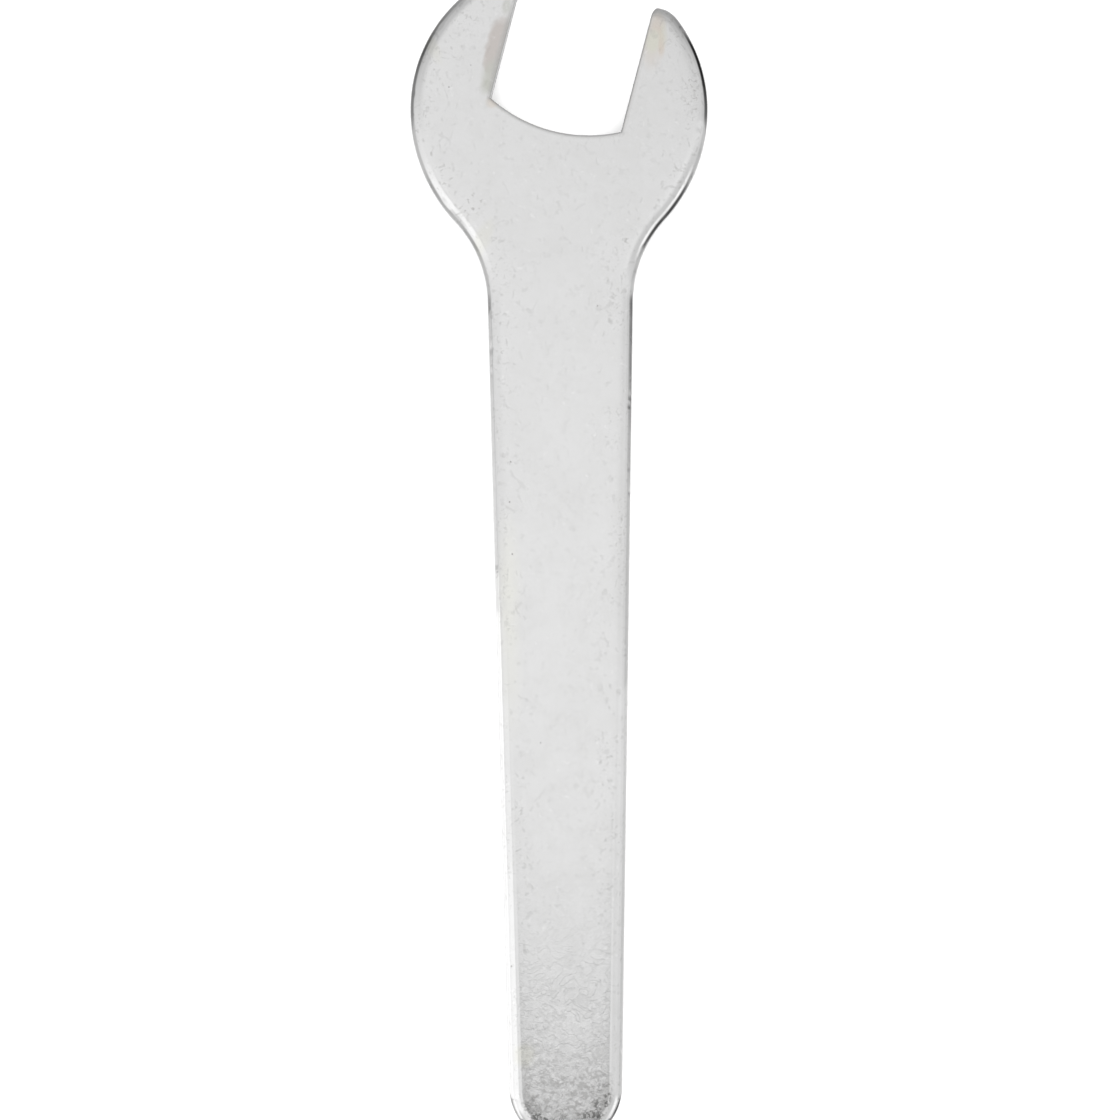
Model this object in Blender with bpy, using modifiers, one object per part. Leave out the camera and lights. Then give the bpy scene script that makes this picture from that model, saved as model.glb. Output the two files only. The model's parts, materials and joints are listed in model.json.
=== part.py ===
# Open-end wrench blanked from flat steel strip, with its jaw cut at an angle to the handle.
# Metres, +Z up. The wrench lies on its burr side, with the handle along Y and the head at +Y.
# The origin is on the surface that it lies on, under the middle of its box.
import math

import bmesh
import bpy
from mathutils import Matrix, Vector

# Jaw, measured from the head's centre along the jaw's own direction
NUT_ACROSS_FLATS = 0.0170
JAW_CLEARANCE = 0.0005  # play between a nut and the two jaw faces together
JAW_ANGLE = math.radians(15)  # the jaw leans this far from the handle
JAW_OFFSET = -0.0002  # the jaw's middle line lies this far to one side of the head's centre
JAW_REACH = 0.01602  # head centre to the ends of the jaw's arms
THROAT_DEPTH = 0.00308  # head centre back to the deepest point of the throat
THROAT_RADIUS = 0.0191
FLARE_RADIUS = 0.0030  # lead-in where a jaw face meets the end of its arm
FLARE_TURN = math.radians(30)

# Head
JAW_ARM = 0.010575  # mean width of the two arms, from jaw face to the head's edge at the widest line
TIP_RADIUS = 0.0039  # between the end of an arm and the head's edge
FLANK_RADIUS = 0.02125  # flatter edge from the head's widest line towards the neck
NECK_RADIUS = 0.0158  # hollow curve from the flank into the handle

# Handle
HANDLE_REACH = 0.1344  # head centre to the end of the handle
HANDLE_NECK_WIDTH = 0.0187  # measured at NECK_GAUGE from the head's centre
NECK_GAUGE = 0.0300
HANDLE_END_WIDTH = 0.0147  # the end is a full round of this width

# Plate and its blanked edge
THICKNESS = 0.0040
EDGE_ROLL = 0.0018  # upper outer edge, rounded as the blanking die drew the metal down
SHEARED_HEIGHT = 0.0007  # upright band under the roll, where the die cut cleanly
TORN_LEAN = 0.0002  # how far the torn band under that leans in at its foot
EDGE_BREAK = 0.0003  # lower outer edge, rounded by tumbling

# Making
ARC_STEP = math.radians(3)  # largest turn between two points of an arc
ROLL_STEPS = 6
CUT_MARGIN = 0.003  # how far the jaw's cutter runs past the plate
SAME_POINT = 1e-6
SAME_PLANE = math.radians(0.1)

# Finish
STEEL_COLOUR = (0.70, 0.70, 0.69, 1.0)
STEEL_ROUGHNESS = 0.3

TORN_HEIGHT = THICKNESS - EDGE_ROLL - SHEARED_HEIGHT
JAW_OPENING = NUT_ACROSS_FLATS + JAW_CLEARANCE
HEAD_RADIUS = JAW_OPENING / 2 + JAW_ARM
JAW_DIRECTION = math.pi / 2 - JAW_ANGLE
JAW_TURN = Matrix.Rotation(-JAW_ANGLE, 2)


def direction(angle):
    return Vector((math.cos(angle), math.sin(angle)))


def angle_of(vector):
    return math.atan2(vector.y, vector.x)


def arc(centre, radius, start, end):
    """Points along an arc with both its ends, clockwise where end is less than start."""
    steps = max(1, math.ceil(abs(end - start) / ARC_STEP))
    turn = (end - start) / steps
    return [centre + radius * direction(start + turn * step) for step in range(steps + 1)]


def joined(*runs):
    """One outline from runs of points, without the point where two runs meet given twice."""
    points = []
    for run in runs:
        meets = points and (run[0] - points[-1]).length < SAME_POINT
        points += run[1:] if meets else run
    return points


def mirrored(points):
    """The same points across the handle's middle, in the opposite order."""
    return [Vector((-point.x, point.y)) for point in reversed(points)]


def handle_side():
    """Right-hand edge, from the head's widest line to the middle of the handle's end."""
    end_radius = HANDLE_END_WIDTH / 2
    end_centre = Vector((0, end_radius - HANDLE_REACH))
    gauge_point = Vector((HANDLE_NECK_WIDTH / 2, -NECK_GAUGE))

    # the straight edge passes through the gauge point and touches the round end
    to_gauge = gauge_point - end_centre
    edge_facing = angle_of(to_gauge) - math.acos(end_radius / to_gauge.length)
    edge_normal = direction(edge_facing)
    edge_upward = Vector((-edge_normal.y, edge_normal.x))

    # the neck's arc slides along that edge until it touches the flank's arc
    flank_centre = Vector((HEAD_RADIUS - FLANK_RADIUS, 0))
    apart = gauge_point + NECK_RADIUS * edge_normal - flank_centre
    along = apart.dot(edge_upward)
    touching = FLANK_RADIUS + NECK_RADIUS
    slide = along + math.sqrt(along**2 - apart.length_squared + touching**2)
    neck_centre = flank_centre + apart - slide * edge_upward

    join = angle_of(neck_centre - flank_centre)
    return joined(
        arc(flank_centre, FLANK_RADIUS, 0, join),
        arc(neck_centre, NECK_RADIUS, join + math.pi, edge_facing + math.pi),
        arc(end_centre, end_radius, edge_facing, -math.pi / 2),
    )


def blank_outline():
    """The blank before its jaw is cut, clockwise from the right-hand arm's end."""
    tip_along = JAW_REACH - TIP_RADIUS
    tip_across = math.sqrt((HEAD_RADIUS - TIP_RADIUS) ** 2 - tip_along**2)
    tip_turn = math.atan2(tip_across, tip_along)
    right_tip = JAW_TURN @ Vector((tip_across, tip_along))
    left_tip = JAW_TURN @ Vector((-tip_across, tip_along))
    head = Vector((0, 0))
    side = handle_side()
    return joined(
        arc(right_tip, TIP_RADIUS, JAW_DIRECTION, JAW_DIRECTION - tip_turn),
        arc(head, HEAD_RADIUS, JAW_DIRECTION - tip_turn, 0),
        side,
        mirrored(side),
        arc(head, HEAD_RADIUS, math.pi, JAW_DIRECTION + tip_turn),
        arc(left_tip, TIP_RADIUS, JAW_DIRECTION + tip_turn, JAW_DIRECTION),
    )


def jaw_outline():
    """What the jaw takes out: a curved throat, two parallel faces and a flared mouth."""
    half = JAW_OPENING / 2
    throat_centre = Vector((0, THROAT_RADIUS - THROAT_DEPTH))
    throat_turn = math.asin(half / THROAT_RADIUS)
    down = -math.pi / 2
    throat = arc(throat_centre, THROAT_RADIUS, down - throat_turn, down + throat_turn)

    flare_along = JAW_REACH - FLARE_RADIUS * math.sin(FLARE_TURN)
    flare_centre = Vector((half + FLARE_RADIUS, flare_along))
    flare = arc(flare_centre, FLARE_RADIUS, math.pi, math.pi - FLARE_TURN)
    mouth = flare[-1] + CUT_MARGIN * direction(math.pi / 2 - FLARE_TURN)
    right_side = flare + [mouth]
    middle = Vector((JAW_OFFSET, 0))
    outline = joined(throat, right_side, mirrored(right_side))
    return [JAW_TURN @ (middle + point) for point in outline]


def plate(name, outline, low, high, head_place, collection):
    """A closed flat plate between two heights, with one face for each of its caps."""
    curve = bpy.data.curves.new(name, "CURVE")
    curve.dimensions = "2D"
    curve.fill_mode = "BOTH"
    curve.extrude = (high - low) / 2
    spline = curve.splines.new("POLY")
    spline.points.add(len(outline) - 1)
    for point, corner in zip(spline.points, outline):
        point.co = (corner.x, corner.y, 0, 1)
    spline.use_cyclic_u = True
    drawn = bpy.data.objects.new(name, curve)
    drawn.location = head_place + Vector((0, 0, (low + high) / 2))
    collection.objects.link(drawn)

    bpy.context.view_layer.update()
    graph = bpy.context.evaluated_depsgraph_get()
    mesh = bpy.data.meshes.new_from_object(drawn.evaluated_get(graph))
    matrix = drawn.matrix_world.copy()
    bpy.data.objects.remove(drawn)
    bpy.data.curves.remove(curve)

    shape = bmesh.new()
    shape.from_mesh(mesh)
    bmesh.ops.remove_doubles(shape, verts=shape.verts, dist=SAME_POINT)
    bmesh.ops.dissolve_limit(shape, angle_limit=SAME_PLANE, verts=shape.verts, edges=shape.edges)
    bmesh.ops.recalc_face_normals(shape, faces=shape.faces)
    shape.to_mesh(mesh)
    shape.free()

    solid = bpy.data.objects.new(name, mesh)
    solid.matrix_world = matrix
    collection.objects.link(solid)
    return solid


def shape_blanked_edge(mesh):
    """Adds the leaning torn band, and marks how far each rim is to be rounded."""
    shape = bmesh.new()
    shape.from_mesh(mesh)
    foot = min(shape.faces, key=lambda face: face.normal.z)
    bmesh.ops.inset_region(shape, faces=[foot], thickness=TORN_LEAN, depth=TORN_HEIGHT)
    top = max(shape.faces, key=lambda face: face.normal.z)
    rounding = shape.edges.layers.float.new("bevel_weight_edge")
    for edge in top.edges:
        edge[rounding] = 1.0
    for edge in foot.edges:
        edge[rounding] = EDGE_BREAK / EDGE_ROLL
    shape.to_mesh(mesh)
    shape.free()


def plated_steel():
    material = bpy.data.materials.new("plated_steel")
    material.use_nodes = True
    surface = material.node_tree.nodes["Principled BSDF"]
    surface.inputs["Base Color"].default_value = STEEL_COLOUR
    surface.inputs["Roughness"].default_value = STEEL_ROUGHNESS
    surface.inputs["Metallic"].default_value = 1.0
    return material


def wrench_body(parts, cutters):
    outline = blank_outline()
    heights = [point.y for point in outline]
    head_place = Vector((0, -(max(heights) + min(heights)) / 2, 0))

    body = plate("wrench_body", outline, TORN_HEIGHT, THICKNESS, head_place, parts)
    shape_blanked_edge(body.data)
    rounding = body.modifiers.new("Blanked edge", "BEVEL")
    rounding.limit_method = "WEIGHT"
    rounding.width = EDGE_ROLL
    rounding.segments = ROLL_STEPS
    rounding.use_clamp_overlap = False

    cutter = plate("jaw_cutter", jaw_outline(), -CUT_MARGIN, THICKNESS + CUT_MARGIN, head_place, cutters)
    cutter.hide_render = True
    cutter.display_type = "WIRE"
    jaw = body.modifiers.new("Jaw", "BOOLEAN")
    jaw.operation = "DIFFERENCE"
    jaw.solver = "EXACT"
    jaw.object = cutter

    body.data.materials.clear()
    body.data.materials.append(plated_steel())
    body.data.shade_smooth()
    shading = body.modifiers.new("Even shading", "WEIGHTED_NORMAL")
    shading.keep_sharp = True
    return body


def collection_named(name):
    collection = bpy.data.collections.new(name)
    bpy.context.scene.collection.children.link(collection)
    return collection


def main():
    for leftover in list(bpy.data.objects):
        bpy.data.objects.remove(leftover)
    wrench_body(collection_named("open_end_wrench"), collection_named("jaw_cutters"))


main()
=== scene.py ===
import json
import math
import random

import bmesh
import bpy
from mathutils import Matrix, Vector, kdtree, noise

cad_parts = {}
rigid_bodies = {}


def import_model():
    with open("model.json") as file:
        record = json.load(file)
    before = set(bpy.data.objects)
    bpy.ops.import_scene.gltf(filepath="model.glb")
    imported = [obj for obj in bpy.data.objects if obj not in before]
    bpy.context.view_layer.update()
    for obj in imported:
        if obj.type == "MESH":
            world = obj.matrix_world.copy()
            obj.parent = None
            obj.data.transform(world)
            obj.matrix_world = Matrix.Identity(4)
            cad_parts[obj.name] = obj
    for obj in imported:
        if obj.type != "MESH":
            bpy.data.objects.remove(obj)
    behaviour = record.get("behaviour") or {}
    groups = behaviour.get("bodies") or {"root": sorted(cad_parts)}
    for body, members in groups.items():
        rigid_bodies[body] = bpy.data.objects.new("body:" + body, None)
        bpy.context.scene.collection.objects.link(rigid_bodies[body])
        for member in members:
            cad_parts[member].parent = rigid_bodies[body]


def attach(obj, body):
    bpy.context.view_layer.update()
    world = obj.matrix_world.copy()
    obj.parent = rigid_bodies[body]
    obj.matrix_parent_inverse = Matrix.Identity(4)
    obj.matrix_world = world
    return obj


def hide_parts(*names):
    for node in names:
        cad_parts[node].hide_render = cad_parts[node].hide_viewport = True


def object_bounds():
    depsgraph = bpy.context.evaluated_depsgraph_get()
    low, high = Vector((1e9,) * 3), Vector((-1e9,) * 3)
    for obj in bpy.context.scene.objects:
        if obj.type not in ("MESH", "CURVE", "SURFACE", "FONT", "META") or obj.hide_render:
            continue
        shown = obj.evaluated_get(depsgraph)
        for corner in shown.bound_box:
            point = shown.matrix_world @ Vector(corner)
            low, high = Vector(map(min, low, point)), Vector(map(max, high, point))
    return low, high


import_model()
cadLow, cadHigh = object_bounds()
mm = 0.001
near = 0.001 * mm

# shape of the blank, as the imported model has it
blank = {
    "jawOpening": 17.5 * mm,
    "jawAngle": math.radians(15),
    "jawOffset": -0.2 * mm,  # the jaw's middle line, from the head's centre
    "jawReach": 16.02 * mm,  # head centre to the ends of the arms
    "throatDepth": 3.08 * mm,
    "throatRadius": 19.1 * mm,
    "flareRadius": 3.0 * mm,
    "flareTurn": math.radians(30),
    "flareHeld": 0.3 * mm,  # beside the jaw face, moved whole with the lead-in
    "flareFade": 2.0 * mm,  # beyond that, less and less
    "tipRadius": 3.9 * mm,
    "flankRadius": 21.25 * mm,
    "neckRadius": 15.8 * mm,
    "neckWidth": 18.7 * mm,
    "neckGauge": 30.0 * mm,  # where the neck's width is measured, from the head's centre
    "handleReach": 134.4 * mm,
    "endWidth": 14.7 * mm,
    "step": 0.35 * mm,  # between two points of the outline
}
headRadius = (cadHigh.x - cadLow.x) / 2
headRow = cadLow.y + blank["handleReach"]
jawTurn = Matrix.Rotation(-blank["jawAngle"], 2)


def pointAt(angle):
    return Vector((math.cos(angle), math.sin(angle)))


def inJaw(across, along):
    return jawTurn @ Vector((across, along))


# the pen draws the outline round the head's centre, in straight runs and arcs
def drawRun(bm, pen, end):
    tip = bmesh.ops.extrude_vert_indiv(bm, verts=[pen])["verts"][0]
    tip.co = end.to_3d()
    return tip


def drawArc(bm, pen, centre, turn):
    reach = (pen.co.xy - centre).length
    steps = max(2, math.ceil(abs(turn) * reach / blank["step"]))
    made = bmesh.ops.spin(
        bm, geom=[pen], cent=centre.to_3d(), axis=(0, 0, 1), angle=turn, steps=steps
    )
    return made["geom_last"][0]


def drawOutline(bm):
    # arm tips
    tipAlong = blank["jawReach"] - blank["tipRadius"]
    tipAcross = math.sqrt((headRadius - blank["tipRadius"]) ** 2 - tipAlong**2)
    tipTurn = math.atan2(tipAcross, tipAlong)

    # straight handle edge, from the neck's gauge point to the round end
    endRadius = blank["endWidth"] / 2
    endCentre = Vector((0, endRadius - blank["handleReach"]))
    gaugePoint = Vector((blank["neckWidth"] / 2, -blank["neckGauge"]))
    toGauge = gaugePoint - endCentre
    facing = math.atan2(toGauge.y, toGauge.x) - math.acos(endRadius / toGauge.length)

    # neck arc, touching that edge and the flank
    flankCentre = Vector((headRadius - blank["flankRadius"], 0))
    apart = gaugePoint + blank["neckRadius"] * pointAt(facing) - flankCentre
    upward = pointAt(facing + math.pi / 2)
    along = apart.dot(upward)
    touching = blank["flankRadius"] + blank["neckRadius"]
    slide = along + math.sqrt(along**2 - apart.length_squared + touching**2)
    neckCentre = flankCentre + apart - slide * upward
    toNeck = neckCentre - flankCentre
    join = math.atan2(toNeck.y, toNeck.x)

    head = Vector((0, 0))
    flip = Vector((-1, 1))
    jawFacing = math.pi / 2 - blank["jawAngle"]
    pen = bm.verts.new(inJaw(tipAcross, blank["jawReach"]).to_3d())
    pen = drawArc(bm, pen, inJaw(tipAcross, tipAlong), -tipTurn)
    pen = drawArc(bm, pen, head, tipTurn - jawFacing)
    pen = drawArc(bm, pen, flankCentre, join)
    pen = drawArc(bm, pen, neckCentre, facing - join)
    pen = drawRun(bm, pen, endCentre + endRadius * pointAt(facing))
    pen = drawArc(bm, pen, endCentre, -math.pi - 2 * facing)
    pen = drawRun(bm, pen, (neckCentre - blank["neckRadius"] * pointAt(facing)) * flip)
    pen = drawArc(bm, pen, neckCentre * flip, facing - join)
    pen = drawArc(bm, pen, flankCentre * flip, join)
    pen = drawArc(bm, pen, head, jawFacing + tipTurn - math.pi)
    drawArc(bm, pen, inJaw(-tipAcross, tipAlong), -tipTurn)

    # even steps along the handle, but none across the mouth
    for run in [e for e in bm.edges if e.calc_length() > 1.5 * blank["step"]]:
        cuts = math.ceil(run.calc_length() / blank["step"]) - 1
        bmesh.ops.subdivide_edges(bm, edges=[run], cuts=cuts)
    bmesh.ops.contextual_create(bm, geom=[v for v in bm.verts if len(v.link_edges) == 1])
    bmesh.ops.translate(bm, verts=bm.verts, vec=(0, headRow, cadLow.z))


# the blanked edge, and the small unevenness that blanking and tumbling leave
skin = {
    "roll": 1.8 * mm,
    "rollSegments": 12,
    "sheared": 0.7 * mm,  # upright band under the roll
    "tornLean": 0.2 * mm,
    "tornRows": 5,
    "tornDepth": 0.03 * mm,
    "tornGrain": 0.5 * mm,
    "tornStretch": 3.0,
    "tornLayers": (1.0, 2.0, 3),  # how fast finer layers fade, how much finer each is, how many
    "footBreak": 0.3 * mm,
    "footSegments": 3,
    "jawBreak": 0.28 * mm,
    "jawSegments": 4,
    "jawCell": 0.4 * mm,
    "supportRing": 0.15 * mm,  # keeps the flat face flat beside the roll
    "faceCell": 0.8 * mm,
    "waveDepth": 0.006 * mm,
    "waveLength": 7.0 * mm,
    "edgeWave": 0.02 * mm,
    "edgeWaveLength": 2.5 * mm,
    "edgeWaveShift": 0.6,  # inwards, in parts of the wave
    "crown": 0.16 * mm,  # the face falls away by this much towards the outline
    "crownReach": 4.2 * mm,
    "sharpAngle": math.radians(40),
}
nicks = {
    "seed": 5,
    "count": 42,
    "width": (0.35 * mm, 0.7 * mm),
    "depth": (0.01 * mm, 0.055 * mm),
    "lean": (0.15, 0.9),  # the part of the roll that takes them, by how far its surface looks up
    "deepestDepth": 0.11 * mm,
    "deepestDrop": 0.7 * skin["roll"],  # below the face
    "deepest": [(9.15 * mm, 8.6 * mm), (9.05 * mm, -14.0 * mm), (8.1 * mm, -64.0 * mm)],
}
tornTop = cadHigh.z - skin["roll"] - skin["sheared"]
faceZone, shearedZone, tornZone, jawZone = range(4)


def atHeight(item, height):
    return all(abs(v.co.z - height) < near for v in item.verts)


def withParts(faces):
    return list(faces) + list({e for f in faces for e in f.edges} | {v for f in faces for v in f.verts})


def facesOf(geom):
    return [item for item in geom if isinstance(item, bmesh.types.BMFace)]


def roundEdges(bm, edges, width, segments):
    return bmesh.ops.bevel(
        bm, geom=edges, offset=width, offset_type="OFFSET", affect="EDGES",
        segments=segments, profile=0.5, material=-1, clamp_overlap=False,
    )


def raiseBlank(bm):
    # foot, torn band, then the height of the sheared band and the roll
    top = bmesh.ops.edgeloop_fill(bm, edges=bm.edges)["faces"]
    for height, zone in ((tornTop, tornZone), (cadHigh.z, shearedZone)):
        before = set(bm.faces)
        top = facesOf(bmesh.ops.extrude_face_region(bm, geom=top)["geom"])
        for v in top[0].verts:
            v.co.z = height
        for wall in set(bm.faces) - before - set(top):
            wall.material_index = zone
    inner = [f for f in bm.faces if atHeight(f, tornTop)]
    bmesh.ops.delete(bm, geom=inner, context="FACES_ONLY")
    bmesh.ops.recalc_face_normals(bm, faces=bm.faces)

    foot = [v for v in bm.verts if abs(v.co.z - cadLow.z) < near]
    for v in foot:
        walls = [f.normal for f in v.link_faces if f.material_index == tornZone]
        v.co -= sum(walls, Vector()).normalized() * skin["tornLean"]

    top = [e for e in bm.edges if atHeight(e, cadHigh.z)]
    for f in roundEdges(bm, top, skin["roll"], skin["rollSegments"])["faces"]:
        f.material_index = faceZone
    foot = [e for e in bm.edges if atHeight(e, cadLow.z)]
    for f in roundEdges(bm, foot, skin["footBreak"], skin["footSegments"])["faces"]:
        f.material_index = faceZone
    uprights = [
        e for e in bm.edges
        if all(f.material_index == tornZone for f in e.link_faces)
        and abs(e.verts[0].co.z - e.verts[1].co.z) > skin["footBreak"]
    ]
    bmesh.ops.subdivide_edges(bm, edges=uprights, cuts=skin["tornRows"], use_grid_fill=True)


def jawSpot(place):
    # across and along the jaw, from its middle line and the head's centre
    return jawTurn.inverted() @ Vector((place.x, place.y - headRow)) - Vector((blank["jawOffset"], 0))


def jawPlanes():
    # one well behind the throat, the two jaw faces, then the throat in short flats
    half, radius = blank["jawOpening"] / 2, blank["throatRadius"]
    planes = [((0, -2 * blank["throatDepth"]), (0, -1)), ((half, 0), (1, 0)), ((-half, 0), (-1, 0))]
    reach = math.asin(half / radius)
    count = math.ceil(2 * reach * radius / blank["step"])
    for k in range(count):
        angle = reach * ((2 * k + 1) / count - 1)
        way = Vector((math.sin(angle), -math.cos(angle)))
        spot = way * radius * math.cos(reach / count)
        planes.append((spot + Vector((0, radius - blank["throatDepth"])), way))
    for (across, along), way in planes:
        spot = inJaw(across + blank["jawOffset"], along).to_3d() + Vector((0, headRow, 0))
        yield spot, inJaw(*way).to_3d()


def sliceFaces(bm, faces, way, gap):
    places = [way.dot(v.co) for f in faces for v in f.verts]
    low, high = min(places), max(places)
    count = math.ceil((high - low) / gap)
    geom = withParts(faces)
    for k in range(1, count):
        spot = way * (low + (high - low) * k / count)
        geom = bmesh.ops.bisect_plane(bm, geom=geom, dist=near, plane_co=spot, plane_no=way)["geom"]
    return facesOf(geom)


def cutJaw(bm):
    inside = list(bm.faces)
    for spot, way in jawPlanes():
        cut = bmesh.ops.bisect_plane(
            bm, geom=withParts(inside), dist=near, plane_co=spot, plane_no=way
        )["geom"]
        inside = [f for f in facesOf(cut) if way.dot(f.calc_center_median() - spot) < 0]
    bmesh.ops.delete(bm, geom=inside, context="FACES")

    # the planes cut the flat faces too, so those are made whole again
    for height in (cadLow.z, cadHigh.z):
        spare = [
            e for e in bm.edges
            if len(e.link_faces) == 2 and all(atHeight(f, height) for f in e.link_faces)
        ]
        bmesh.ops.dissolve_edges(bm, edges=spare)

    # the throat joins its two rims, then each jaw face fills what stays open beside it
    half = blank["jawOpening"] / 2
    rim = [e for e in bm.edges if e.is_boundary]
    throat = [e for e in rim if any(abs(jawSpot(v.co).x) < half - near for v in e.verts)]
    walls = bmesh.ops.bridge_loops(bm, edges=throat)["faces"]
    for side in (-half, half):
        hole = [
            e for e in bm.edges
            if e.is_boundary and all(abs(jawSpot(v.co).x - side) < 10 * near for v in e.verts)
        ]
        walls += bmesh.ops.contextual_create(bm, geom=hole)["faces"]
    for f in walls:
        f.material_index = jawZone
    bmesh.ops.recalc_face_normals(bm, faces=bm.faces)
    rim = [e for e in bm.edges if len({f.material_index == jawZone for f in e.link_faces}) == 2]
    broken = roundEdges(bm, rim, skin["jawBreak"], skin["jawSegments"])["faces"]

    # cells on the jaw's walls
    walls = {f for f in bm.faces if f.material_index == jawZone}
    straight = [f for f in walls.union(broken) if abs(jawSpot(f.calc_center_median()).x) > half - 2 * near]
    sliceFaces(bm, straight, inJaw(0, 1).to_3d(), skin["jawCell"])
    walls = [f for f in bm.faces if f.material_index == jawZone]
    sliceFaces(bm, walls, Vector((0, 0, 1)), skin["jawCell"])


def flareMouth(bm):
    # the lead-in beside each arm's end; it fades out across the arm
    half, radius = blank["jawOpening"] / 2, blank["flareRadius"]
    start = blank["jawReach"] - radius * math.sin(blank["flareTurn"])
    held, fade = blank["flareHeld"], blank["flareFade"]
    for v in bm.verts:
        spot = jawSpot(v.co)
        rise = spot.y - start
        past = abs(spot.x) - half
        if rise > 0 and past < held + fade:
            shift = radius - math.sqrt(radius**2 - rise**2)
            shift *= 1 - max(0, past - held) / fade
            v.co += inJaw(math.copysign(shift, spot.x), 0).to_3d()


def cellFaces(bm):
    for height in (cadLow.z, cadHigh.z):
        flat = [f for f in bm.faces if atHeight(f, height)]
        bmesh.ops.inset_region(bm, faces=flat, thickness=skin["supportRing"])
        flat = sliceFaces(bm, flat, Vector((1, 0, 0)), skin["faceCell"])
        sliceFaces(bm, flat, Vector((0, 1, 0)), skin["faceCell"])
    bmesh.ops.dissolve_degenerate(bm, dist=3 * near, edges=bm.edges)
    bmesh.ops.recalc_face_normals(bm, faces=bm.faces)


def roughen(bm):
    bm.normal_update()
    moves = []
    rollFoot = cadHigh.z - skin["roll"]
    for v in bm.verts:
        zones = {f.material_index for f in v.link_faces}
        if zones == {tornZone}:
            spot = Vector((v.co.x, v.co.y, v.co.z / skin["tornStretch"])) / skin["tornGrain"]
            moves.append((v, v.normal * noise.fractal(spot, *skin["tornLayers"]) * skin["tornDepth"]))
        elif zones == {faceZone} and v.co.z > rollFoot:
            # nearly all of it inwards, so that the body keeps to its box
            wave = noise.noise(v.co / skin["waveLength"]) - 1
            dent = noise.noise(v.co / skin["edgeWaveLength"]) - skin["edgeWaveShift"]
            lean = 1 - max(0, v.normal.z)
            depth = wave * skin["waveDepth"] + dent * lean * skin["edgeWave"]
            moves.append((v, v.normal * depth))
    for v, move in moves:
        v.co += move


def treeOf(spots):
    tree = kdtree.KDTree(len(spots))
    for k, spot in enumerate(spots):
        tree.insert(spot, k)
    tree.balance()
    return tree


def planOf(place):
    return Vector((place.x, place.y, 0))


def crownFace(bm, rim):
    tree = treeOf([planOf(spot) for spot in rim])
    for v in bm.verts:
        rise = (v.co.z - tornTop) / (cadHigh.z - tornTop)
        gap = tree.find(planOf(v.co))[2]
        if rise > 0 and gap < skin["crownReach"]:
            v.co.z -= skin["crown"] * rise * (1 - gap / skin["crownReach"]) ** 3


def nickEdge(bm):
    # small knocks along the rolled edge
    bm.normal_update()
    bm.verts.ensure_lookup_table()
    tree = treeOf([v.co for v in bm.verts])
    draw = random.Random(nicks["seed"])
    least, most = nicks["lean"]
    rolled = [
        v for v in bm.verts
        if {f.material_index for f in v.link_faces} == {faceZone} and least < v.normal.z < most
    ]
    places = [(v.co.copy(), draw.uniform(*nicks["depth"])) for v in draw.sample(rolled, nicks["count"])]
    for x, y in nicks["deepest"]:
        spot = tree.find((x, y, cadHigh.z - nicks["deepestDrop"]))[0]
        places.append((spot, nicks["deepestDepth"]))
    for spot, depth in places:
        width = draw.uniform(*nicks["width"])
        for _, k, gap in tree.find_range(spot, width):
            v = bm.verts[k]
            v.co -= v.normal * depth * (1 - (gap / width) ** 2) ** 2


def measureGaps(mesh, rims):
    # plan distance from each point to the outer edge and to the jaw, in millimetres
    for name, spots in rims.items():
        tree = treeOf([planOf(spot) for spot in spots])
        gap = mesh.attributes.new(name, "FLOAT", "POINT")
        for k, v in enumerate(mesh.vertices):
            gap.data[k].value = tree.find(planOf(v.co))[2] / mm


def makeBody():
    bm = bmesh.new()
    drawOutline(bm)
    rims = {"edgeGap": [v.co.copy() for v in bm.verts]}
    print("outline:", len(bm.verts), "points")
    raiseBlank(bm)
    print("blank:", len(bm.faces), "faces")
    cutJaw(bm)
    print("jaw cut:", len(bm.faces), "faces")
    cellFaces(bm)
    flareMouth(bm)
    rims["jawGap"] = [
        v.co.copy() for v in bm.verts if any(f.material_index == jawZone for f in v.link_faces)
    ]
    crownFace(bm, rims["edgeGap"])
    roughen(bm)
    nickEdge(bm)
    bmesh.ops.recalc_face_normals(bm, faces=bm.faces)
    print("body:", len(bm.faces), "faces")
    mesh = bpy.data.meshes.new("wrenchBody")
    bm.to_mesh(mesh)
    bm.free()
    mesh.shade_smooth()
    mesh.set_sharp_from_angle(angle=skin["sharpAngle"])
    measureGaps(mesh, rims)
    body = bpy.data.objects.new("wrenchBody", mesh)
    bpy.context.scene.collection.objects.link(body)
    return body


class Wire:
    # a node's socket that can stand in an expression

    def __init__(self, sheet, socket):
        self.sheet = sheet
        self.socket = socket

    def calc(self, operation, first, second):
        return self.sheet.node("ShaderNodeMath", {"operation": operation}, {0: first, 1: second})

    def __add__(self, other):
        return self.calc("ADD", self, other)

    def __radd__(self, other):
        return self.calc("ADD", other, self)

    def __sub__(self, other):
        return self.calc("SUBTRACT", self, other)

    def __rsub__(self, other):
        return self.calc("SUBTRACT", other, self)

    def __mul__(self, other):
        return self.calc("MULTIPLY", self, other)

    def __rmul__(self, other):
        return self.calc("MULTIPLY", other, self)

    def __truediv__(self, other):
        return self.calc("DIVIDE", self, other)

    def __rtruediv__(self, other):
        return self.calc("DIVIDE", other, self)


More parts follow.
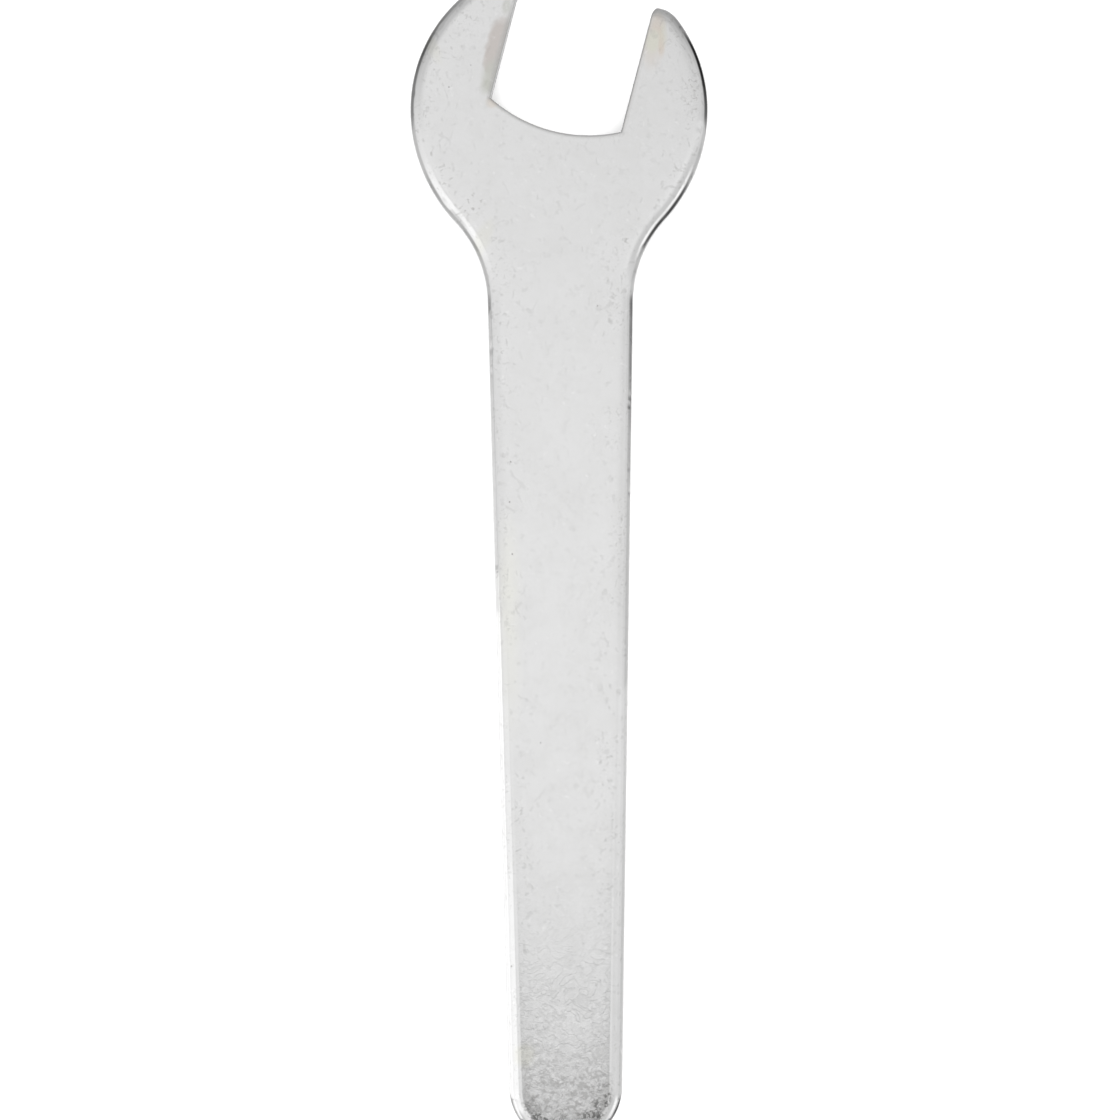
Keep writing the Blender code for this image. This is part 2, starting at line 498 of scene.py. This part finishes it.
class NodeSheet:
    # the nodes of one finish, or of the room

    def __init__(self, owner):
        owner.use_nodes = True
        self.tree = owner.node_tree
        self.tree.nodes.clear()

    def node(self, kind, settings, sockets, out=0):
        made = self.tree.nodes.new(kind)
        for name, value in settings.items():
            if name == "stops":
                ramp = made.color_ramp.elements
                while len(ramp) < len(value):
                    ramp.new(1.0)
                for stop, (position, tone) in zip(ramp, value):
                    stop.position = position
                    stop.color = (tone, tone, tone, 1)
            else:
                setattr(made, name, value)
        for name, value in sockets.items():
            if isinstance(value, Wire):
                self.tree.links.new(value.socket, made.inputs[name])
            else:
                made.inputs[name].default_value = value
        return Wire(self, made.outputs[out]) if made.outputs else None

    def places(self, stretch=(1, 1, 1), turn=0.0):
        # object coordinates in millimetres, turned and stretched
        spot = self.node("ShaderNodeTexCoord", {}, {}, "Object")
        scale = [part / mm for part in stretch]
        return self.node(
            "ShaderNodeMapping", {}, {"Vector": spot, "Rotation": (0, 0, turn), "Scale": scale}
        )

    def axis(self, spot, name):
        return self.node("ShaderNodeSeparateXYZ", {}, {"Vector": spot}, name)

    def noise(self, spot, scale, detail, distortion=0.0):
        return self.node(
            "ShaderNodeTexNoise", {},
            {"Vector": spot, "Scale": scale, "Detail": detail, "Distortion": distortion}, "Fac",
        )

    def cells(self, spot, scale, out="Distance"):
        return self.node("ShaderNodeTexVoronoi", {}, {"Vector": spot, "Scale": scale}, out)

    def ease(self, value, low, high, first=0.0, last=1.0):
        return self.node(
            "ShaderNodeMapRange", {"interpolation_type": "SMOOTHSTEP"},
            {"Value": value, "From Min": low, "From Max": high, "To Min": first, "To Max": last},
        )

    def mark(self, spot, facts):
        return self.ease(self.noise(spot, *facts["noise"]), *facts["cut"])

    def crease(self, spot, facts):
        # thin lines where the noise crosses its middle
        fold = self.noise(spot, *facts["noise"]) - 0.5
        return self.ease(fold * fold, 0.0, facts["fold"], 1.0, 0.0)

    def attribute(self, name):
        return self.node("ShaderNodeAttribute", {"attribute_name": name}, {}, "Fac")

    def blendColour(self, factor, first, second):
        return self.node("ShaderNodeMix", {"data_type": "RGBA"}, {0: factor, 6: first, 7: second}, 2)

    def bump(self, height):
        # heights are in millimetres
        return self.node("ShaderNodeBump", {}, {"Height": height, "Strength": 1.0, "Distance": mm})

    def surface(self, sockets):
        shader = self.node("ShaderNodeBsdfPrincipled", {}, sockets)
        self.node("ShaderNodeOutputMaterial", {}, {"Surface": shader})


# lengths in millimetres; rows run along the handle, from the middle of the box
plating = {
    "steel": (0.72, 0.72, 0.72, 1),
    "worn": (0.60, 0.595, 0.585, 1),
    # darker colour for wear and marks, and for painted shade
    "knockedAndShaded": (0.38, 0.375, 0.365, 1),
    # pale colour for flecks and for the speckle's painted highlight
    "pale": (0.84, 0.84, 0.84, 1),
    "crusted": (0.17, 0.17, 0.165, 1),
    "rollRoughness": 0.055,
    "faceRoughness": 0.105,  # added away from the rolled edge
    "cloudRoughness": 0.04,
    "wearRoughness": 0.15,
    # gaps to the outer edge, and to the jaw
    "rollEnd": (0.8, 1.9),  # the rolled edge is burnished up to here
    "edgeBand": (1.5, 6.0),  # marks are thick up to the first, and thin from the second
    "jawBand": (0.1, 0.6),  # dull grey beside the jaw's broken edge
    "endInside": (1.2, 2.4),  # the end's marks keep clear of the roll
    "cornerBand": (4.6, 2.6),
    "crustBand": (1.0, 1.7),
    # rows where the head's wear and each of the end's marks start, and where they are full
    "headRow": (20.0, 36.0),
    "cornerRow": (-67.0, -72.5),
    "cornerLean": 0.25,  # the right corner's crust starts higher
    "endRows": {
        "wrinkle": (-40.0, -58.0), "speckle": (-45.0, -72.0), "uneven": (-53.0, -72.0),
        "deep": (-61.0, -70.0), "shade": (-64.0, -73.0),
    },
    "headWear": 0.6,  # more than on the handle
    "jawTone": 0.22,
    # shade is painted shade: the face's colour darkens towards the handle's end
    "shadeTone": 0.1,
}
# noise is its scale, detail and distortion, and cut is where it starts to show and where it is full
# middle is how much of a mark is left in the middle of the face
marks = {
    "peel": {"noise": (2.0, 2.2, 1.1), "depth": 0.003, "rollDepth": 0.002},  # left by tumbling
    "grain": {"noise": (6.0, 1.0), "depth": 0.0008},
    "smudge": {
        "noise": (0.5, 0.0, 0.4), "fold": 0.0035, "turns": (0.4, 2.0), "stretch": (1.0, 0.6, 1.0),
        "middle": 0.4, "tone": 0.15, "depth": 0.003,
    },
    "smudgeGap": {"noise": (1.1, 1.0), "cut": (0.54, 0.7)},
    "bruise": {"noise": (1.8, 2.0, 0.8), "cut": (0.57, 0.72), "middle": 0.3, "tone": 0.22},
    "bruiseGroup": {"noise": (0.22, 1.0), "cut": (0.42, 0.62)},
    "pit": {
        "scale": 0.36, "size": (0.028, 0.052), "lot": (0.78, 0.80), "nearEdge": 0.35,
        "tone": 0.7, "depth": 0.02,
    },
    "fleck": {"noise": (1.5, 1.0, 0.5), "cut": (0.66, 0.78), "turn": 1.1, "tone": 0.3},
    "speck": {"noise": (2.0, 1.0, 0.4), "cut": (0.56, 0.74)},
    "mottle": {"noise": (0.55, 3.0, 0.5), "cut": (0.4, 0.7), "tone": 0.12},
    "cloud": {"noise": (0.16, 3.0), "cut": (0.35, 0.75), "tone": 0.1},
    "ragged": {"noise": (0.7, 2.0), "by": 0.45},  # outline of the stains
    # the worm's dark and pale colours are painted shade and painted highlight on the speckle
    "worm": {
        "noise": (1.6, 1.0, 0.5), "dark": (0.51, 0.63), "pale": (0.44, 0.34),
        "thin": 0.2, "deep": 0.9, "tone": 0.4, "depth": 0.007,
    },
    "wrinkle": {"noise": (0.55, 1.5, 0.8), "fold": 0.002, "tone": 0.08, "depth": 0.002},
    "blotch": {"noise": (0.8, 1.0), "cut": (0.36, 0.58)},
    "crumb": {"noise": (2.9, 1.5, 0.4), "cut": (0.46, 0.56), "tone": 0.85},
}
# faint stains, each with where it fades out and where it is full
# spots: middle, half width, half height, turn, strength
stains = {
    "pink": {
        "colour": (0.565, 0.53, 0.51, 1),
        "fade": (1.1, 0.75),
        "spots": [
            (-7.8, 65.6, 1.8, 4.6, 0.14, 0.75), (-7.6, 66.6, 1.5, 2.6, 0.14, 0.3),
            (-9.0, 64.3, 0.9, 1.7, 0.14, 0.45),
        ],
    },
    "moss": {
        "colour": (0.545, 0.55, 0.51, 1),
        "fade": (1.2, 0.4),
        "spots": [
            (-8.6, 62.4, 1.5, 2.4, 0.14, 0.8), (-6.7, 71.3, 0.7, 1.2, 0.26, 0.6),
            (-9.5, 60.9, 0.9, 1.2, 0.14, 0.5),
        ],
    },
    "peach": {
        "colour": (0.67, 0.605, 0.54, 1),
        "fade": (1.25, 0.45),
        "spots": [
            (13.3, 66.3, 0.5, 1.9, 0.0, 0.6), (12.8, 68.9, 1.1, 1.5, 0.2, 0.45),
            (12.3, 66.6, 1.6, 3.6, 0.15, 0.4),
            (-8.6, 58.9, 0.9, 0.8, 0.0, 0.6),
        ],
    },
    "straw": {
        "colour": (0.68, 0.675, 0.60, 1),
        "fade": (1.25, 0.45),
        "spots": [
            (-10.2, 41.0, 1.2, 3.2, 0.5, 0.35), (-5.3, -64.5, 1.6, 1.6, 0.0, 0.5),
            (12.2, 66.7, 1.0, 1.7, 0.1, 0.9), (13.6, 67.6, 0.5, 1.7, 0.0, 0.5),
            (-16.6, 66.5, 0.9, 3.0, -0.5, 0.35),
        ],
    },
    "cream": {
        "colour": (0.77, 0.77, 0.71, 1),
        "fade": (1.4, 0.0),
        "spots": [(-7.0, -3.0, 1.6, 8.5, 0.0, 0.5), (-6.8, -14.0, 1.5, 9.0, 0.0, 0.35)],
    },
    "grey": {
        "colour": (0.50, 0.495, 0.485, 1),
        "fade": (1.25, 0.55),
        "spots": [
            (-7.5, 65.4, 0.6, 6.4, 0.26, 0.6), (-4.6, -70.6, 1.0, 1.6, 0.0, 0.4),
            (5.2, -69.5, 0.7, 2.6, 0.1, 0.4), (7.7, 1.0, 1.2, 12.0, 0.0, 0.12),
        ],
    },
    "speckled": {
        "colour": (0.34, 0.33, 0.315, 1),
        "fade": (1.25, 0.55),
        "spots": [
            (-11.5, 45.7, 1.7, 1.9, 0.5, 0.45), (-16.8, 64.2, 0.9, 2.6, -0.3, 0.35),
            (17.3, 60.4, 0.9, 5.6, 0.12, 0.45), (15.7, 67.7, 0.8, 2.2, 0.6, 0.45),
            (15.4, 49.0, 1.3, 1.8, 0.0, 0.3), (7.9, 2.0, 0.9, 7.0, 0.0, 0.2),
            (-7.6, 4.5, 0.7, 3.5, 0.0, 0.2),
        ],
    },
}
stainReach = 2.0  # up and down from the face


def stainMask(sheet, ragged, stain):
    total = 0.0
    for x, y, halfWidth, halfHeight, turn, strength in stain["spots"]:
        place = sheet.node("ShaderNodeTexCoord", {}, {}, "Object")
        place = sheet.node(
            "ShaderNodeMapping", {"vector_type": "TEXTURE"},
            {"Vector": place, "Location": (x * mm, y * mm, cadHigh.z), "Rotation": (0, 0, -turn),
             "Scale": (halfWidth * mm, halfHeight * mm, stainReach * mm)},
        )
        gap = sheet.node("ShaderNodeVectorMath", {"operation": "LENGTH"}, {0: place}, "Value")
        total = sheet.ease(gap + ragged, *stain["fade"]) * strength + total
    return total


def thinned(byEdge, middle):
    return byEdge * (1 - middle) + middle


def smudges(sheet, byEdge):
    # short curved lines, broken up by a second noise
    facts = marks["smudge"]
    total = 0.0
    for turn in facts["turns"]:
        line = sheet.crease(sheet.places(facts["stretch"], turn), facts)
        broken = sheet.mark(sheet.places(turn=turn), marks["smudgeGap"])
        total = line * broken * thinned(byEdge, facts["middle"]) + total
    return total


def bruises(sheet, spot, byEdge):
    # small ones in loose groups
    grouped = sheet.mark(spot, marks["bruise"]) * sheet.mark(spot, marks["bruiseGroup"])
    return grouped * thinned(byEdge, marks["bruise"]["middle"])


def pits(sheet, spot, byEdge):
    # a dot in some of the cells, in more of them near the edges
    facts = marks["pit"]
    dot = sheet.ease(sheet.cells(spot, facts["scale"]), *facts["size"], 1.0, 0.0)
    cell = sheet.cells(spot, facts["scale"], "Color")
    lot = sheet.node("ShaderNodeSeparateColor", {}, {"Color": cell}, "Red")
    return dot * sheet.ease(lot + byEdge * facts["nearEdge"], *facts["lot"])


def endMarks(sheet, spot, row, edgeGap):
    # speckle and wrinkles that thicken towards the handle's end, and crust in its corners; the speckle's
    # dark and pale colours are painted shade and painted highlight over its real bumps, and the end's
    # shade is painted shade
    inside = sheet.ease(edgeGap, *plating["endInside"])
    grown = {name: sheet.ease(row, *rows) * inside for name, rows in plating["endRows"].items()}
    facts = marks["worm"]
    worm = sheet.noise(spot, *facts["noise"])
    # dark speckle: painted shade
    dark = sheet.ease(worm, *facts["dark"]) * grown["speckle"]
    dark = dark * (grown["deep"] * facts["deep"] + facts["thin"])
    # pale speckle: painted highlight
    pale = sheet.ease(worm, *facts["pale"]) * grown["speckle"]
    wrinkle = sheet.crease(spot, marks["wrinkle"]) * grown["wrinkle"]
    corner = sheet.ease(row - sheet.axis(spot, "X") * plating["cornerLean"], *plating["cornerRow"])
    for band in ("cornerBand", "crustBand"):
        corner = corner * sheet.ease(edgeGap, *plating[band])
    crust = sheet.mark(spot, marks["crumb"]) * sheet.mark(spot, marks["blotch"]) * corner
    # the end's shade here is painted shade, a darker colour towards the end
    wearAndPaintedShade = wrinkle * marks["wrinkle"]["tone"] + grown["shade"] * plating["shadeTone"]
    height = worm * grown["uneven"] * facts["depth"] - wrinkle * marks["wrinkle"]["depth"]
    return {
        "wearAndPaintedShade": dark * facts["tone"] + wearAndPaintedShade,
        "pale": pale * facts["tone"],
        "crust": crust * marks["crumb"]["tone"],
        "height": height,
    }


def platedFace():
    material = bpy.data.materials.new("platedFace")
    sheet = NodeSheet(material)
    spot = sheet.places()
    row = sheet.axis(spot, "Y")
    edgeGap = sheet.attribute("edgeGap")
    onFace = sheet.ease(edgeGap, *plating["rollEnd"])
    byEdge = sheet.ease(edgeGap, *plating["edgeBand"], 1.0, 0.0)
    jawLine = sheet.ease(sheet.attribute("jawGap"), *plating["jawBand"], 1.0, 0.0)
    smudge = smudges(sheet, byEdge)
    bruise = bruises(sheet, spot, byEdge)
    pit = pits(sheet, spot, byEdge)
    fleck = sheet.mark(sheet.places(turn=marks["fleck"]["turn"]), marks["fleck"])
    end = endMarks(sheet, spot, row, edgeGap)

    # cloudy steel and its stains
    cloud = sheet.noise(spot, *marks["cloud"]["noise"])
    mottle = sheet.mark(spot, marks["mottle"]) * marks["mottle"]["tone"]
    mottle = sheet.ease(cloud, *marks["cloud"]["cut"]) * marks["cloud"]["tone"] + mottle
    colour = sheet.blendColour(mottle, plating["steel"], plating["worn"])
    ragged = (sheet.noise(spot, *marks["ragged"]["noise"]) - 0.5) * marks["ragged"]["by"]
    for name, stain in stains.items():
        mask = stainMask(sheet, ragged, stain)
        if name == "speckled":
            mask = mask * sheet.mark(spot, marks["speck"])
        colour = sheet.blendColour(mask, colour, stain["colour"])

    # wear and painted shade over them, then pale flecks with the speckle's painted highlight, and the
    # crust
    headWear = sheet.ease(row, *plating["headRow"]) * plating["headWear"] + 1.0
    wearAndPaintedShade = smudge * marks["smudge"]["tone"] + bruise * marks["bruise"]["tone"]
    wearAndPaintedShade = wearAndPaintedShade * headWear + pit * marks["pit"]["tone"] + jawLine * plating["jawTone"] + end["wearAndPaintedShade"]
    # this darker colour takes real wear and marks, together with the painted shade of the end and of the
    # speckle
    colour = sheet.blendColour(wearAndPaintedShade, colour, plating["knockedAndShaded"])
    # pale flecks, and the speckle's painted highlight
    colour = sheet.blendColour(end["pale"] + fleck * marks["fleck"]["tone"], colour, plating["pale"])
    colour = sheet.blendColour(end["crust"], colour, plating["crusted"])
    roughness = onFace * plating["faceRoughness"] + plating["rollRoughness"]
    roughness = cloud * plating["cloudRoughness"] + wearAndPaintedShade * plating["wearRoughness"] + roughness

    # orange peel, a finer grain over it, and how deep the marks go
    peel = sheet.noise(spot, *marks["peel"]["noise"])
    peel = peel * (onFace * marks["peel"]["depth"] + marks["peel"]["rollDepth"])
    grain = sheet.noise(spot, *marks["grain"]["noise"]) * marks["grain"]["depth"]
    dents = smudge * marks["smudge"]["depth"] + pit * marks["pit"]["depth"]
    sheet.surface({
        "Base Color": colour,
        "Metallic": 1.0,
        "Roughness": roughness,
        "Normal": sheet.bump(peel + grain + end["height"] - dents),
    })
    return material


# lengths in millimetres; a roughness is its start, then what each kind of mark adds
wallFinish = {
    "drawn": (0.45, 0.445, 0.43, 1),
    "tornDark": (0.33, 0.325, 0.315, 1),
    "tornPale": (0.56, 0.555, 0.545, 1),
    "tornTop": (tornTop - cadLow.z) / mm,
    "streak": {"stretch": (1, 1, 0.05), "noise": (9.0, 3.0), "tone": 0.5, "depth": 0.006},
    "tear": {"stretch": (1, 1, 0.35), "noise": (5.0, 5.0, 0.6), "cut": (0.3, 0.7), "depth": 0.05},
    "crumb": {"stretch": (1, 1, 0.5), "scale": 7.0, "depth": 0.01},
    "cloud": {"noise": (0.5, 2.0)},
    "split": {"noise": (0.9, 2.0), "by": 1.4, "blur": (-0.1, 0.15)},  # between the jaw's two bands
    "shearedRoughness": (0.2, 0.12, 0.08),
    "tornRoughness": (0.52, -0.14),
    "jawRoughness": (0.24, 0.1, 0.2),
}


def drawMarks(sheet):
    # upright marks from the die, and their colour
    facts = wallFinish["streak"]
    streak = sheet.noise(sheet.places(facts["stretch"]), *facts["noise"])
    return streak, sheet.blendColour(streak * facts["tone"], plating["steel"], wallFinish["drawn"])


def tearMarks(sheet):
    # dull broken metal, stretched upwards, and its colour
    facts = wallFinish["tear"]
    tear = sheet.noise(sheet.places(facts["stretch"]), *facts["noise"])
    dull = sheet.ease(tear, *facts["cut"])
    return tear, dull, sheet.blendColour(dull, wallFinish["tornDark"], wallFinish["tornPale"])


def shearedBand():
    material = bpy.data.materials.new("shearedBand")
    sheet = NodeSheet(material)
    streak, colour = drawMarks(sheet)
    cloud = sheet.noise(sheet.places(), *wallFinish["cloud"]["noise"])
    start, byStreak, byCloud = wallFinish["shearedRoughness"]
    sheet.surface({
        "Base Color": colour,
        "Metallic": 1.0,
        "Roughness": start + streak * byStreak + cloud * byCloud,
        "Normal": sheet.bump(streak * wallFinish["streak"]["depth"]),
    })
    return material


def tornBand():
    material = bpy.data.materials.new("tornBand")
    sheet = NodeSheet(material)
    tear, dull, colour = tearMarks(sheet)
    facts = wallFinish["crumb"]
    crumb = sheet.cells(sheet.places(facts["stretch"]), facts["scale"])
    start, byDull = wallFinish["tornRoughness"]
    sheet.surface({
        "Base Color": colour,
        "Metallic": 1.0,
        "Roughness": start + dull * byDull,
        "Normal": sheet.bump(tear * wallFinish["tear"]["depth"] + crumb * facts["depth"]),
    })
    return material


def jawWall():
    # the same two bands as the outside, with a ragged line between them
    material = bpy.data.materials.new("jawWall")
    sheet = NodeSheet(material)
    spot = sheet.places()
    streak, drawn = drawMarks(sheet)
    tear, _, broken = tearMarks(sheet)
    facts = wallFinish["split"]
    shift = (sheet.noise(spot, *facts["noise"]) - 0.5) * facts["by"]
    low, high = (wallFinish["tornTop"] + blur for blur in facts["blur"])
    torn = sheet.ease(sheet.axis(spot, "Z") + shift, low, high, 1.0, 0.0)
    start, byStreak, byTear = wallFinish["jawRoughness"]
    height = streak * wallFinish["streak"]["depth"] + tear * torn * wallFinish["tear"]["depth"]
    sheet.surface({
        "Base Color": sheet.blendColour(torn, drawn, broken),
        "Metallic": 1.0,
        "Roughness": start + streak * byStreak + torn * byTear,
        "Normal": sheet.bump(height),
    })
    return material


body = makeBody()
for finish in (platedFace, shearedBand, tornBand, jawWall):
    body.data.materials.append(finish())
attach(body, "root")
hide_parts("wrench_body")
print("body and its finishes are in place")

# the photographed view, straight down on the face
view = {
    "lens": 120.0,
    "sensor": 36.0,
    "frameWidth": 145.5 * mm,
    "middle": (-0.27 * mm, -0.38 * mm),
    "turn": math.radians(-0.387),
}
camera = bpy.data.objects.new("camera", bpy.data.cameras.new("camera"))
bpy.context.scene.collection.objects.link(camera)
camera.data.lens = view["lens"]
camera.data.sensor_width = view["sensor"]
away = view["frameWidth"] * view["lens"] / view["sensor"]
camera.location = (*view["middle"], cadHigh.z - skin["roll"] + away)
camera.rotation_euler = (0, 0, view["turn"])
bpy.context.scene.camera = camera
bpy.context.scene.view_settings.view_transform = "Standard"

# small softboxes beside the handle: middle, way it faces along x, length, height, brightness
# those that overlap are 1 mm apart, because in one plane only the first would light
softboxes = {
    "leftUnder": ((-0.063, -0.05, -0.05), 1, 0.082, 0.1, 0.26),
    "leftFade": ((-0.062, -0.047, -0.05), 1, 0.088, 0.1, 0.42),
    # in four steps, so that the face mirrors no hard edge in low views
    "leftBesideA": ((-0.062, -0.051, 0.036), 1, 0.082, 0.072, 0.05),
    "leftBesideB": ((-0.063, -0.057, 0.036), 1, 0.07, 0.072, 0.05),
    "leftBesideC": ((-0.064, -0.0635, 0.036), 1, 0.057, 0.072, 0.06),
    "leftBesideD": ((-0.065, -0.0695, 0.036), 1, 0.045, 0.072, 0.08),
    "leftEnd": ((-0.062, -0.107, -0.015), 1, 0.03, 0.03, 0.6),
    "leftNeck": ((-0.022, 0.0156, -0.0125), 1, 0.0338, 0.025, 0.3),
    "rightUnder": ((0.062, -0.056, -0.05), -1, 0.072, 0.1, 0.14),
    "rightBeside": ((0.062, -0.056, 0.036), -1, 0.072, 0.072, 0.06),
    "rightEnd": ((0.062, -0.107, -0.015), -1, 0.03, 0.03, 0.5),
}


def addSoftbox(name, middle, facing, length, height, brightness):
    lamp = bpy.data.lights.new(name, "AREA")
    lamp.shape = "RECTANGLE"
    lamp.size = length
    lamp.size_y = height
    lamp.energy = brightness * math.pi * length * height
    up, back = Vector((0, 0, 1)), Vector((-facing, 0, 0))
    turned = Matrix((up.cross(back), up, back)).transposed()
    box = bpy.data.objects.new(name, lamp)
    box.location = middle
    box.rotation_euler = turned.to_euler()
    bpy.context.scene.collection.objects.link(box)


for name, facts in softboxes.items():
    addSoftbox(name, *facts)

# the room as the steel mirrors it
# walls: bearing (0 right, 90 past the head), then tones below the horizon, on it, higher and highest
room = {
    "walls": [
        # mirrored by the left side and the head's left flank
        (-180, 0.70, 0.98, 1.02, 1.03), (-176, 0.68, 1.00, 1.04, 1.03), (-166, 0.70, 1.10, 1.15, 1.00),
        (-158, 0.50, 1.28, 1.28, 0.96), (-150, 0.60, 1.28, 1.38, 0.98), (-145, 0.66, 1.00, 1.32, 1.10),
        (-140, 0.70, 0.82, 1.02, 1.30), (-128, 0.25, 0.90, 1.20, 1.05),
        # by the handle's end
        (-100, 0.35, 0.75, 0.95, 1.00), (-75, 0.30, 0.70, 0.85, 0.95),
        # by the head's right flank
        (-52, 0.40, 0.80, 0.82, 0.90), (-43, 0.32, 1.00, 0.80, 0.90), (-34, 0.08, 1.25, 0.80, 0.90),
        (-25, 0.14, 1.40, 0.80, 0.90), (-20, 0.42, 1.20, 0.80, 0.90), (-14, 0.70, 0.84, 0.82, 0.88),
        (-8, 0.60, 0.84, 0.90, 0.96),
        # by the right side and the right arm
        (-4, 0.74, 0.92, 1.00, 1.02), (0, 0.72, 0.92, 1.00, 1.02), (4, 0.18, 0.76, 0.87, 0.93),
        (19, 0.02, 0.80, 0.88, 0.90), (33, 0.02, 0.60, 0.74, 0.83), (39, 0.38, 0.50, 0.66, 0.78),
        (65, 0.52, 0.56, 0.66, 0.80),
        # by the left arm
        (120, 0.48, 0.55, 0.70, 0.82), (142, 0.22, 0.58, 0.72, 0.80), (149, 0.12, 0.60, 0.76, 0.84),
        (160, 0.26, 0.76, 0.80, 0.88), (175, 0.34, 0.94, 0.97, 0.98), (180, 0.70, 0.98, 1.02, 1.03),
    ],
    "peak": 2.0,  # no wall is brighter
    "tableTone": 0.9,
    "table": (-68, -46),  # degrees above the horizon where the next tone takes over, as in the four below
    "below": (-18, 2),
    "horizon": (9, 24),
    "rise": (40, 58),
    "ceiling": (48, 86),
    "ceilingTone": 1.09,
    # parts of the ceiling, by how far they lean from upright along and across the handle
    "headDim": {"by": 0.07, "along": (0.045, 0.085), "across": (-0.03, 0.0), "leftShare": 0.7},
    "tipDim": {"by": 0.13, "along": (0.09, 0.13), "across": (0.0, 0.03)},
    "handleGlow": {"by": 0.08, "along": (-0.01, -0.07)},
    # dark gap past the handle's end, furthest off in the middle
    "gap": {"tone": 0.22, "tip": -0.189, "slope": 0.8, "reach": -0.134, "sides": (0.3, 0.2), "blur": 0.02},
    "leastRise": 0.05,  # stands in for level and lower, where a lean has no end
    "floorLight": 2.2,
    "backdrop": 1.0,
}


def makeRoom():
    world = bpy.data.worlds.new("room")
    bpy.context.scene.world = world
    sheet = NodeSheet(world)
    look = sheet.node("ShaderNodeTexCoord", {}, {}, "Generated")
    east, north, up = (sheet.axis(look, name) for name in "XYZ")
    bearing = east.calc("ARCTAN2", north, east) / (2 * math.pi) + 0.5
    rise = up.calc("ARCSINE", up, 0) / math.radians(1)

    def around(column):
        stops = [((row[0] + 180) / 360, row[column] / room["peak"]) for row in room["walls"]]
        return sheet.node("ShaderNodeValToRGB", {"stops": stops}, {"Fac": bearing}) * room["peak"]

    def towards(tone, other, share):
        return tone + (other - tone) * share

    # dimmer over the head, most of all over its right tip, and brighter over the lower handle
    above = up.calc("MAXIMUM", up, room["leastRise"])
    across, along = east / above, north / above
    head, tip, glow = room["headDim"], room["tipDim"], room["handleGlow"]
    overHead = sheet.ease(across, *head["across"], head["leftShare"], 1.0)
    dim = sheet.ease(along, *head["along"]) * overHead * head["by"]
    dim = dim - sheet.ease(along, *glow["along"]) * glow["by"]
    dim = sheet.ease(along, *tip["along"]) * sheet.ease(across, *tip["across"]) * tip["by"] + dim
    gap = room["gap"]
    aside = across.calc("ABSOLUTE", across, 0)
    edge = (along - gap["tip"]) - aside * gap["slope"]
    edge = edge.calc("MAXIMUM", edge, along - gap["reach"])
    dark = sheet.ease(edge, -gap["blur"], gap["blur"], 1.0, 0.0) * sheet.ease(aside, *gap["sides"])
    ceiling = towards(room["ceilingTone"] * (1 - dim), gap["tone"], dark)

    tone = towards(room["tableTone"], around(1), sheet.ease(rise, *room["table"]))
    for column, band in enumerate(("below", "horizon", "rise"), 2):
        tone = towards(tone, around(column), sheet.ease(rise, *room[band]))
    tone = towards(tone, ceiling, sheet.ease(rise, *room["ceiling"]))
    # the floor is lit evenly, and the backdrop is white
    diffuse, seen = (
        sheet.node("ShaderNodeLightPath", {}, {}, kind) for kind in ("Is Diffuse Ray", "Is Camera Ray")
    )
    tone = towards(towards(tone, room["floorLight"], diffuse), room["backdrop"], seen)
    shader = sheet.node("ShaderNodeBackground", {}, {"Color": tone})
    sheet.node("ShaderNodeOutputWorld", {}, {"Surface": shader})


makeRoom()

# pale floor, just under the body
ground = {"size": 12.0, "gap": 0.05 * mm, "paint": (0.9, 0.9, 0.9, 1)}
bm = bmesh.new()
bmesh.ops.create_grid(bm, x_segments=4, y_segments=4, size=ground["size"] / 2)
bmesh.ops.translate(bm, verts=bm.verts, vec=(0, 0, cadLow.z - ground["gap"]))
floorMesh = bpy.data.meshes.new("floor")
bm.to_mesh(floorMesh)
bm.free()
floor = bpy.data.objects.new("floor", floorMesh)
bpy.context.scene.collection.objects.link(floor)
floorPaint = bpy.data.materials.new("floorPaint")
NodeSheet(floorPaint).surface(
    {"Base Color": ground["paint"], "Roughness": 1.0, "Specular IOR Level": 0.0}
)
floorMesh.materials.append(floorPaint)
floor.visible_glossy = False  # the rolled edge mirrors the walls instead
floor.visible_shadow = False
print("camera, softboxes, walls and floor are in place")
